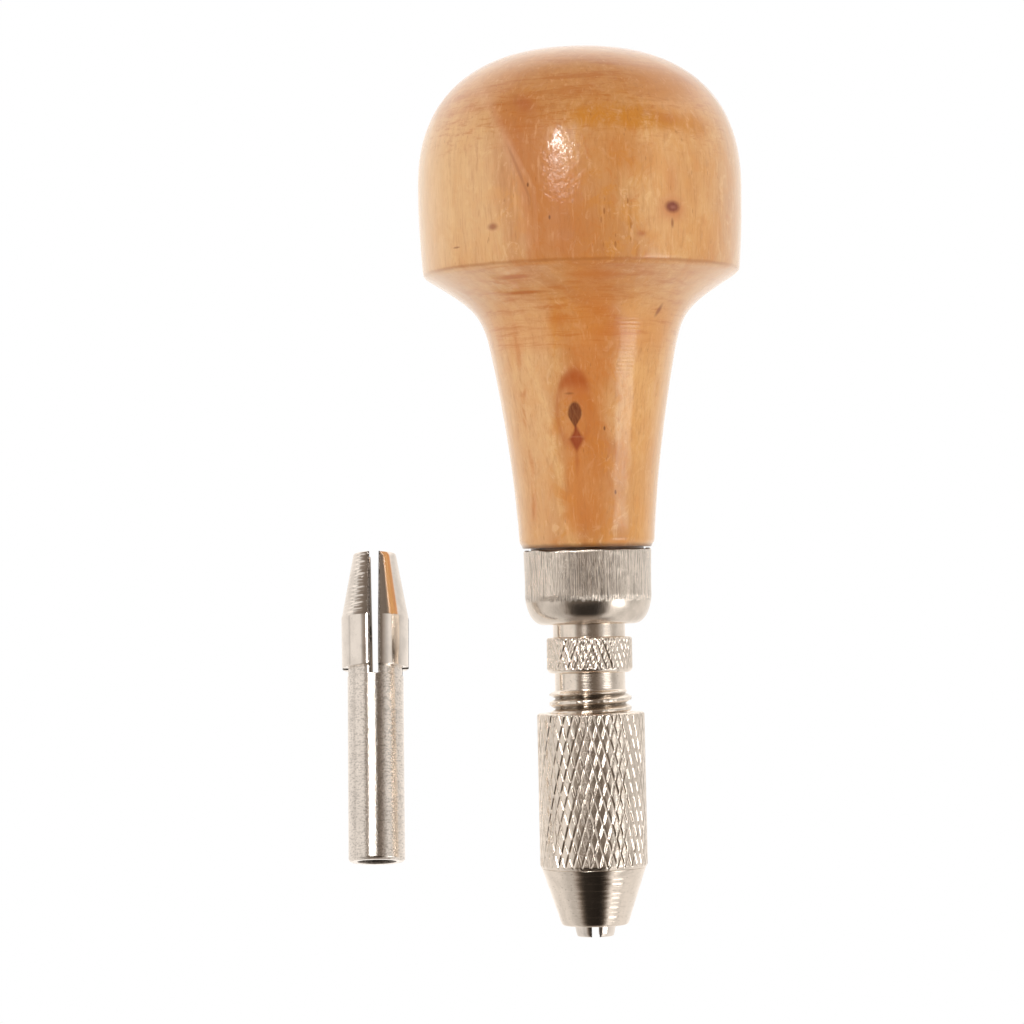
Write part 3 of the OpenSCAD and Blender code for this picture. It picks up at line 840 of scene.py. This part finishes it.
def nut_shape(r, a, z):
    slope = (TAU * NUT_R / NUT_SEGMENTS) / 2 / NUT_ROW
    depth = knurl(a, z, 38, NUT_R, slope, 0.13, 51, 0.2)
    floor = NUT_R - 0.11 * depth
    grit = 0.006 * (1 + waves(52, a, z, 30, 80, 1.0).clip(-1, 1))
    outside = r > CONE_TOP_R - 0.12
    return np.where(outside, np.minimum(r, floor) - grit, r), z


def nose_shape(r, a, z):
    outside = r > NOSE_R - 0.4 + (z - NOSE_Z) * 0.3
    rings = 0.011 * (1 + waves(61, 0 * a, z, 14, 0, 0.5).clip(-1, 1))
    return r - rings * outside, z


# ---------------------------------------------------------------- collets
def jaw_rows(tip, end, inset):
    """(height, outer radius, inner radius) of one jaw from its tip to its root."""
    cone_len = (HEAD_R - tip) / CONE_SLOPE
    outer = path(
        [
            (tip - 0.32, 0, 0),
            (tip - 0.05, 0.03, 0.2),
            (tip + 0.35 * CONE_SLOPE, 0.35, 0.15),
            (HEAD_R, cone_len, 0.05),
            (HEAD_R, HEAD_LEN - 0.02, 0.1),
            (SHANK_R - inset, HEAD_LEN, 0.0),
            (SHANK_R - inset, end, 0),
        ],
        0.13,
    )
    z = outer[:, 1]
    rise = np.clip((z - GRIP_LEN) / (SHANK_BORE_R - GRIP_R), 0, 1)
    inner = GRIP_R + (SHANK_BORE_R - GRIP_R) * rise + inset * smoothstep(z, HEAD_LEN - 0.5, HEAD_LEN)
    return z, outer[:, 0], inner


def jaw(name, tip, turn, end, inset, seed, rough=0.0, flare=0.0):
    """A quarter of a collet's slotted end. Its loops run over the outside, down one slot wall, back
    along the inside and up the other wall. Rough is how deep its cone is scored."""
    z, outer, inner = jaw_rows(tip, end, inset)
    rng = np.random.default_rng(seed)
    arc_n, wall_n, bore_n = 22, 5, 10
    rows = []
    for i in range(len(z)):
        ro, ri = outer[i], inner[i]
        half_o = math.pi / 4 - math.asin(min(0.98, SLOT_HALF / ro))
        half_i = math.pi / 4 - math.asin(min(0.98, SLOT_HALF / ri))
        a = np.linspace(-half_o, half_o, arc_n)
        cone = smoothstep(z[i], 0.1, 0.4) * smoothstep(z[i], 7.2, 6.9)
        ridge = np.sin(z[i] * TAU / 0.42 + 1.3 * math.sin(z[i] * 2.1)) * 0.6 + rng.uniform(-0.4, 0.4)
        scrape = rng.uniform(-1, 1, arc_n)
        inner_side = smoothstep(np.abs(a), half_o, half_o - 0.3)
        radius = ro - rough * cone * (0.55 + (0.45 * ridge + 0.2 * scrape) * inner_side)
        break_edge = np.zeros(arc_n)
        break_edge[[0, -1]] = 0.05 + 0.02 * rng.uniform(0, 1, 2)
        radius = radius - break_edge
        arc = np.stack([radius * np.cos(a), radius * np.sin(a)], 1)
        burr = (0.008 + 0.3 * rough * cone) * rng.uniform(-1, 1)
        b = np.linspace(half_i, -half_i, bore_n)
        bore = np.stack([ri * np.cos(b), ri * np.sin(b)], 1)
        t = np.linspace(0, 1, wall_n + 2)[1:-1, None]
        wall_a = arc[-1] + (bore[0] - arc[-1]) * t
        wall_b = bore[-1] + (arc[0] - bore[-1]) * t
        # the wall's edge beside the outside stands in or out a little, as sawing left it
        arc[-1] += np.array([math.sin(math.pi / 4), math.cos(math.pi / 4)]) * burr
        arc[0] += np.array([math.sin(math.pi / 4), -math.cos(math.pi / 4)]) * burr * rng.uniform(-1, 1)
        loop = np.concatenate([arc, wall_a, bore, wall_b])
        rows.append(np.column_stack([loop, np.full(len(loop), z[i])]))
    rows = np.array(rows)
    count, size = rows.shape[:2]
    verts = rows.reshape(-1, 3)
    # outward spring about the middle of the wall at the slots' ends
    if flare:
        mid = (SHANK_R + SHANK_BORE_R) / 2
        dx, dz = verts[:, 0] - mid, verts[:, 2] - SLOT_LEN
        verts = np.column_stack(
            [
                mid + dx * math.cos(flare) - dz * math.sin(flare),
                verts[:, 1],
                SLOT_LEN + dx * math.sin(flare) + dz * math.cos(flare),
            ]
        )
    c, s = math.cos(turn), math.sin(turn)
    x, y = verts[:, 0], verts[:, 1]
    verts = np.column_stack([x * c - y * s, x * s + y * c, verts[:, 2]])
    faces = []
    for i in range(count - 1):
        for j in range(size):
            k = (j + 1) % size
            faces.append([i * size + j, i * size + k, (i + 1) * size + k, (i + 1) * size + j])
    for base in (0, (count - 1) * size):
        faces.append([base + j for j in range(size)])
    obj = new_object(name, verts, faces, GROUND, 30)
    obj.data.materials.append(SAWN)
    obj.data.materials.append(SATIN)
    wall_at = {0, *range(arc_n - 2, arc_n + wall_n), *range(arc_n + wall_n + bore_n - 1, size)}
    for i, face in enumerate(obj.data.polygons[: (count - 1) * size]):
        if i % size in wall_at:
            face.material_index = 1
        elif z[i // size] > HEAD_LEN - 0.05:
            face.material_index = 2
    return obj


def spare_matrix():
    """Places a collet whose tip is at the origin where the spare one stands."""
    return (
        Matrix.Translation(SPARE_AT)
        @ Matrix.Rotation(math.radians(SPARE_TILT), 4, "Y")
        @ Matrix.Rotation(math.radians(-SPARE_LEAN), 4, "X")
        @ Matrix.Rotation(math.pi, 4, "X")
        @ Matrix.Translation((0, 0, -COLLET_LEN))
    )


def move_mesh(obj, matrix):
    """Moves an object by a matrix in mm, so that its finish still follows its own axis."""
    m = matrix.copy()
    m.translation = m.translation * MM
    obj.matrix_world = m
    return obj


# ---------------------------------------------------------------- build
handle = lathe("handle_wood", handle_profile(), 256, WOOD, handle_shape, crease=50)
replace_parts(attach(handle, "haft"), "wood_handle")

ferrule = lathe("ferrule_cup", ferrule_profile(), 224, FERRULE, ferrule_shape)
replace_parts(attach(ferrule, "haft"), "ferrule")

neck_profile = path(
    [
        (0, NECK_TOP_Z, 0),
        (NECK_R, NECK_TOP_Z, 0),
        (NECK_R, BAND_HIGH - 0.02, 0.1),
        (3.2, BAND_HIGH - 0.02, 0),
        (0, BAND_HIGH - 0.02, 0),
    ],
    0.25,
)
band_step = (TAU * BAND_R / BAND_SEGMENTS) / 2 / KNURL_SLOPE
band_profile = path(
    [
        (CORE_R - 0.5, BAND_LOW - 0.42, 0),
        (CORE_R + 0.02, BAND_LOW - 0.42, 0.03),
        (BAND_R - 0.3, BAND_LOW - 0.34, 0.15),
        (BAND_R, BAND_LOW, 0.25),
        (BAND_R, BAND_HIGH - 0.2, 0.2),
        (BAND_R - 0.2, BAND_HIGH, 0.08),
        (NECK_R - 0.5, BAND_HIGH, 0),
    ],
    band_step,
)
thread_profile = path(
    [
        (SPINDLE_BORE_R, SPINDLE_END + 0.2, 0),
        (SPINDLE_BORE_R + 0.2, SPINDLE_END, 0.05),
        (CORE_R - 0.1, SPINDLE_END, 0.05),
        (CORE_R, SPINDLE_END + 0.1, 0.05),
        (CORE_R, BAND_LOW - 0.3, 0),
        (SPINDLE_BORE_R, BAND_LOW - 0.3, 0),
    ],
    0.055,
)
neck = lathe("spindle_neck", neck_profile, 160, NECK)
band = lathe("spindle_band", band_profile, BAND_SEGMENTS, KNURLED, band_shape, staggered=True, crease=60)
thread = lathe("spindle_thread", thread_profile, 144, TURNED, spindle_thread_shape, crease=50)
for piece in (neck, band, thread):
    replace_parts(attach(piece, "haft"), "chuck_spindle")

sleeve_in = 4.8
top_edge = [(sleeve_in, NUT_TOP, 0), (NUT_R - 0.2, NUT_TOP, 0.06), (NUT_R, NUT_TOP - 0.2, 0.06)]
rows = np.linspace(NUT_TOP - 0.26, NUT_LOW + 0.12, 127)
low_edge = [
    (NUT_R - 0.01, NUT_LOW + 0.08, 0),
    (CONE_TOP_R + 0.01, CONE_TOP_Z + 0.02, 0.05),
    (sleeve_in, CONE_TOP_Z + 0.02, 0),
]
sleeve_profile = np.concatenate(
    [path(top_edge, 0.12), np.stack([np.full_like(rows, NUT_R), rows], 1), path(low_edge, 0.1)]
)
sleeve = lathe("nut_sleeve", sleeve_profile, NUT_SEGMENTS, KNURLED, nut_shape, staggered=True, crease=60)
seat_low = TIP_R + NOSE_Z * CONE_SLOPE + SEAT_GAP
seat_top = TIP_R + SEAT_TOP_Z * CONE_SLOPE + SEAT_GAP
nose_profile = path(
    [
        (NUT_BORE_R + 0.1, CONE_TOP_Z + 0.5, 0),
        (5.2, CONE_TOP_Z + 0.5, 0),
        (5.2, CONE_TOP_Z + 0.1, 0.1),
        (CONE_TOP_R, CONE_TOP_Z, 0.05),
        (NOSE_R, NOSE_Z + 0.15, 0.12),
        (NOSE_R - 0.15, NOSE_Z, 0.08),
        (seat_low + 0.15, NOSE_Z, 0.06),
        (seat_low + 0.02, NOSE_Z + 0.15, 0.05),
        (seat_top, SEAT_TOP_Z, 0.05),
        (NUT_BORE_R, SEAT_TOP_Z + NUT_BORE_R - seat_top, 0.05),
        (NUT_BORE_R, CONE_TOP_Z + 0.5, 0),
    ],
    0.1,
)
nose = lathe("nut_nose", nose_profile, 192, TURNED, nose_shape)
bore_profile = path(
    [
        (NUT_BORE_R, CONE_TOP_Z + 0.3, 0),
        (NUT_BORE_R, RELIEF_LOW - 0.5, 0),
        (THREAD_R + 0.15, RELIEF_LOW, 0),
        (THREAD_R + 0.15, RELIEF_HIGH, 0),
        (CORE_R + 0.12, RELIEF_HIGH + 0.4, 0),
        (CORE_R + 0.12, NUT_TOP - 0.6, 0),
        (THREAD_R + 0.25, NUT_TOP - 0.02, 0),
        (THREAD_R + 0.45, NUT_TOP - 0.04, 0),
        (THREAD_R + 0.45, CONE_TOP_Z + 0.3, 0),
    ],
    0.09,
)
nut_thread = lathe("nut_thread", bore_profile, 96, TURNED, nut_thread_shape)
for piece in (sleeve, nose, nut_thread):
    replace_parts(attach(piece, "nut"), "chuck_nut")

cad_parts["collet_tube"].data.materials.clear()
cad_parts["collet_tube"].data.materials.append(SATIN)

for number in range(1, 5):
    turn = math.radians(45 + 90 * (number - 1))
    piece = jaw(f"fitted_jaw_{number}", TIP_R, turn, SLOT_LEN - 0.04, 0.0, 70 + number)
    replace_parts(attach(piece, f"jaw_{number}"), f"collet_jaw_{number}")

place_spare = spare_matrix()
spare_tube_profile = path(
    [
        (SHANK_BORE_R, SLOT_LEN, 0),
        (SHANK_R, SLOT_LEN, 0.04),
        (SHANK_R, COLLET_LEN - 0.25, 0.1),
        (SHANK_R - 0.25, COLLET_LEN, 0.06),
        (SHANK_BORE_R + 0.2, COLLET_LEN, 0.06),
        (SHANK_BORE_R, COLLET_LEN - 0.2, 0.06),
    ],
    0.25,
)
spare_tube = lathe("spare_shank", spare_tube_profile, 160, SATIN)
spare_tube.data.materials.append(SAWN)
for face in spare_tube.data.polygons:
    if math.hypot(face.center.x, face.center.y) < (SHANK_BORE_R + 0.1) * MM:
        face.material_index = 1
spare_parts = [spare_tube]
for number in range(1, 5):
    turn = math.radians(45 + 90 * (number - 1))
    rough = 0.08 if number == SCORED_JAW else 0.003
    end = SLOT_LEN + 0.4
    piece = jaw(f"spare_jaw_{number}", SPARE_TIP_R, turn, end, 0.05, 80 + number, rough, SPARE_FLARE)
    spare_parts.append(piece)
for piece in spare_parts:
    move_mesh(piece, place_spare)
    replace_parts(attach(piece, "spare"), "spare_collet")


# ---------------------------------------------------------------- studio
CAMERA_AT = (-8.11, -382.9, 36.43)
CAMERA_AIM = (-8.11, 0.0, 46.23)
CAMERA_ROLL = math.radians(1.2)
CAMERA_LENS = 123.6
TABLE_R = 150.0
TABLE_FACES = (-0.45, -3.45)


def make_camera():
    data = bpy.data.cameras.new("camera")
    data.lens = CAMERA_LENS
    data.sensor_width = 36.0
    data.clip_start = 0.02
    data.clip_end = 20.0
    obj = bpy.data.objects.new("camera", data)
    bpy.context.scene.collection.objects.link(obj)
    at, aim = Vector(CAMERA_AT) * MM, Vector(CAMERA_AIM) * MM
    look = (aim - at).normalized()
    side = look.cross(Vector((0, 0, 1))).normalized()
    up = side.cross(look)
    c, s = math.cos(CAMERA_ROLL), math.sin(CAMERA_ROLL)
    across = side * c - up * s
    above = side * s + up * c
    turn = Matrix((across, above, -look)).transposed().to_4x4()
    obj.matrix_world = Matrix.Translation(at) @ turn
    bpy.context.scene.camera = obj


def make_floor():
    """A round table top that the camera sees as plain white and no light or mirror sees at all."""
    material = bpy.data.materials.new("pale_table")
    material.use_nodes = True
    g = Graph(material.node_tree)
    glow = g.node("ShaderNodeEmission", {"Color": (1, 1, 1), "Strength": 1.0})
    g.node("ShaderNodeOutputMaterial", {0: glow.outputs[0]})
    segments = 96
    a = np.arange(segments) * TAU / segments
    verts = [[TABLE_R * math.cos(t), TABLE_R * math.sin(t), h] for h in TABLE_FACES for t in a]
    faces = [list(range(segments)), list(range(2 * segments - 1, segments - 1, -1))]
    for j in range(segments):
        k = (j + 1) % segments
        faces.append([j, k, segments + k, segments + j])
    table = new_object("table_top", np.array(verts), faces, material)
    table.visible_glossy = False
    table.visible_diffuse = False
    table.visible_shadow = False


# Soft lights that reach only matt surfaces, as (compass angle, height, strength).
FILL = ((-60, 5, 0.73), (60, 5, 0.63), (180, 10, 0.9), (0, -60, 0.9))
# How bright the studio is all round, by compass angle from the camera (right is positive), at three
# heights: level with the object, well below it and well above it.
LEVEL = (
    (-180, 1.15), (-158, 1.05), (-140, 0.9), (-125, 0.84), (-112, 0.8), (-104, 0.8),
    (-97, 0.56), (-90, 0.84), (-50, 0.82), (-44, 0.44), (-38, 0.28), (-26, 0.24), (0, 0.17), (16, 0.16),
    (26, 0.23), (34, 0.4), (44, 0.6), (52, 0.85), (62, 0.8), (74, 0.58), (84, 0.48), (92, 0.56),
    (104, 0.72), (120, 0.8), (135, 0.9), (155, 1.0), (180, 1.15),
)
BELOW = (
    (-180, 1.1), (-150, 0.9), (-130, 0.8), (-100, 0.78), (-88, 0.66), (-72, 0.5), (-62, 0.56),
    (-52, 0.38), (-44, 0.12), (-32, 0.03), (16, 0.015), (30, 0.05), (38, 0.24), (46, 0.84), (52, 1.05),
    (60, 1.0), (72, 0.76), (82, 0.7), (90, 0.8), (110, 0.84), (140, 0.82), (160, 0.95), (180, 1.1),
)
ABOVE = (
    (-180, 1.3), (-150, 1.2), (-110, 1.1), (-96, 0.9), (-89, 0.45), (-76, 0.3), (-46, 0.18),
    (-30, 0.16), (30, 0.2), (50, 0.16), (66, 0.4), (80, 0.9), (96, 1.1), (110, 1.2), (140, 1.2),
    (160, 1.25), (180, 1.3),
)


def make_world():
    world = bpy.data.worlds.new("studio")
    bpy.context.scene.world = world
    world.use_nodes = True
    g = Graph(world.node_tree)
    coords = g.node("ShaderNodeTexCoord")
    split = g.node("ShaderNodeSeparateXYZ", {0: coords.outputs["Generated"]})
    x, y, z = (Field(g, o) for o in split.outputs)
    degrees = 180 / math.pi
    around = g.math("ARCTAN2", x, y * -1.0) * degrees
    up = g.math("ARCSINE", z.least(0.9999).most(-0.9999)) * degrees

    level = g.levels(around, LEVEL)
    below = g.levels(around, BELOW)
    above = g.levels(around, ABOVE)
    low = g.ramp01(up, -10.0, -28.0)
    high = g.ramp01(up, 18.0, 34.0)
    tone = level + (below - level) * low + (above - level) * high
    tone = tone + (0.5 - tone) * g.ramp01(up, 52.0, 75.0)
    tone = tone + (0.3 - tone) * g.ramp01(up, -55.0, -75.0)
    tint = g.mix((1.0, 0.8, 0.65), (1.0, 0.95, 0.9), g.ramp01(tone, 0.12, 0.6))

    # a tall box with a hot lamp in it and a soft skirt round it stands high on the left
    box_high = g.window(up, 6.5, 32.0, 2.0)
    left_box = g.window(around, -21.0, -13.5, 1.5) * box_high * (g.ramp01(up, 17.0, 26.0) * 4.0 + 4.0)
    left_lamp = g.window(around, -18.5, -14.5, 1.0) * g.window(up, 16.0, 28.0, 2.0)
    box_skirt = g.window(around, -27.0, -2.0, 2.5) * box_high
    # a dimmer panel stands under them, level with the necks
    panel = g.window(around, -23.0, -9.0, 2.0) * g.window(up, -1.2, 6.5, 0.8)
    right_box = g.window(around, 46.0, 70.0, 4.0) * g.window(up, -27.0, -6.0, 4.0)
    right_box = right_box * (g.ramp01(up, -13.0, -22.0) * 1.2 + 2.2)

    def glow(colour, strength):
        return g.node("ShaderNodeBackground", {"Color": colour, "Strength": strength}).outputs[0]

    boxes = left_box + left_lamp * 30.0 + box_skirt * 2.2 + panel * 0.55 + right_box
    room = g.node("ShaderNodeAddShader", {0: glow(tint, tone), 1: glow((1.0, 0.985, 0.96), boxes)})
    seen = g.node("ShaderNodeLightPath").outputs["Is Camera Ray"]
    white = glow((1.0, 1.0, 1.0), 1.0)
    pick = g.node("ShaderNodeMixShader", {0: seen, 1: room.outputs[0], 2: white})
    g.node("ShaderNodeOutputWorld", {0: pick.outputs[0]})


def make_fill():
    """Broad lights from all round, which the metal and the lacquer don't mirror."""
    for number, (compass, height, strength) in enumerate(FILL, 1):
        data = bpy.data.lights.new(f"fill_{number}", "SUN")
        data.angle = math.radians(110)
        data.energy = strength
        data.color = (0.98, 1.0, 1.02)
        obj = bpy.data.objects.new(f"fill_{number}", data)
        obj.visible_glossy = False
        a, h = math.radians(compass), math.radians(height)
        source = Vector((math.sin(a) * math.cos(h), -math.cos(a) * math.cos(h), math.sin(h)))
        obj.rotation_mode = "QUATERNION"
        obj.rotation_quaternion = source.to_track_quat("Z", "Y")
        bpy.context.scene.collection.objects.link(obj)


make_camera()
make_floor()
make_world()
make_fill()
view = bpy.context.scene.view_settings
view.view_transform = "Standard"
view.look = "None"
view.exposure = 0.0
view.gamma = 1.0
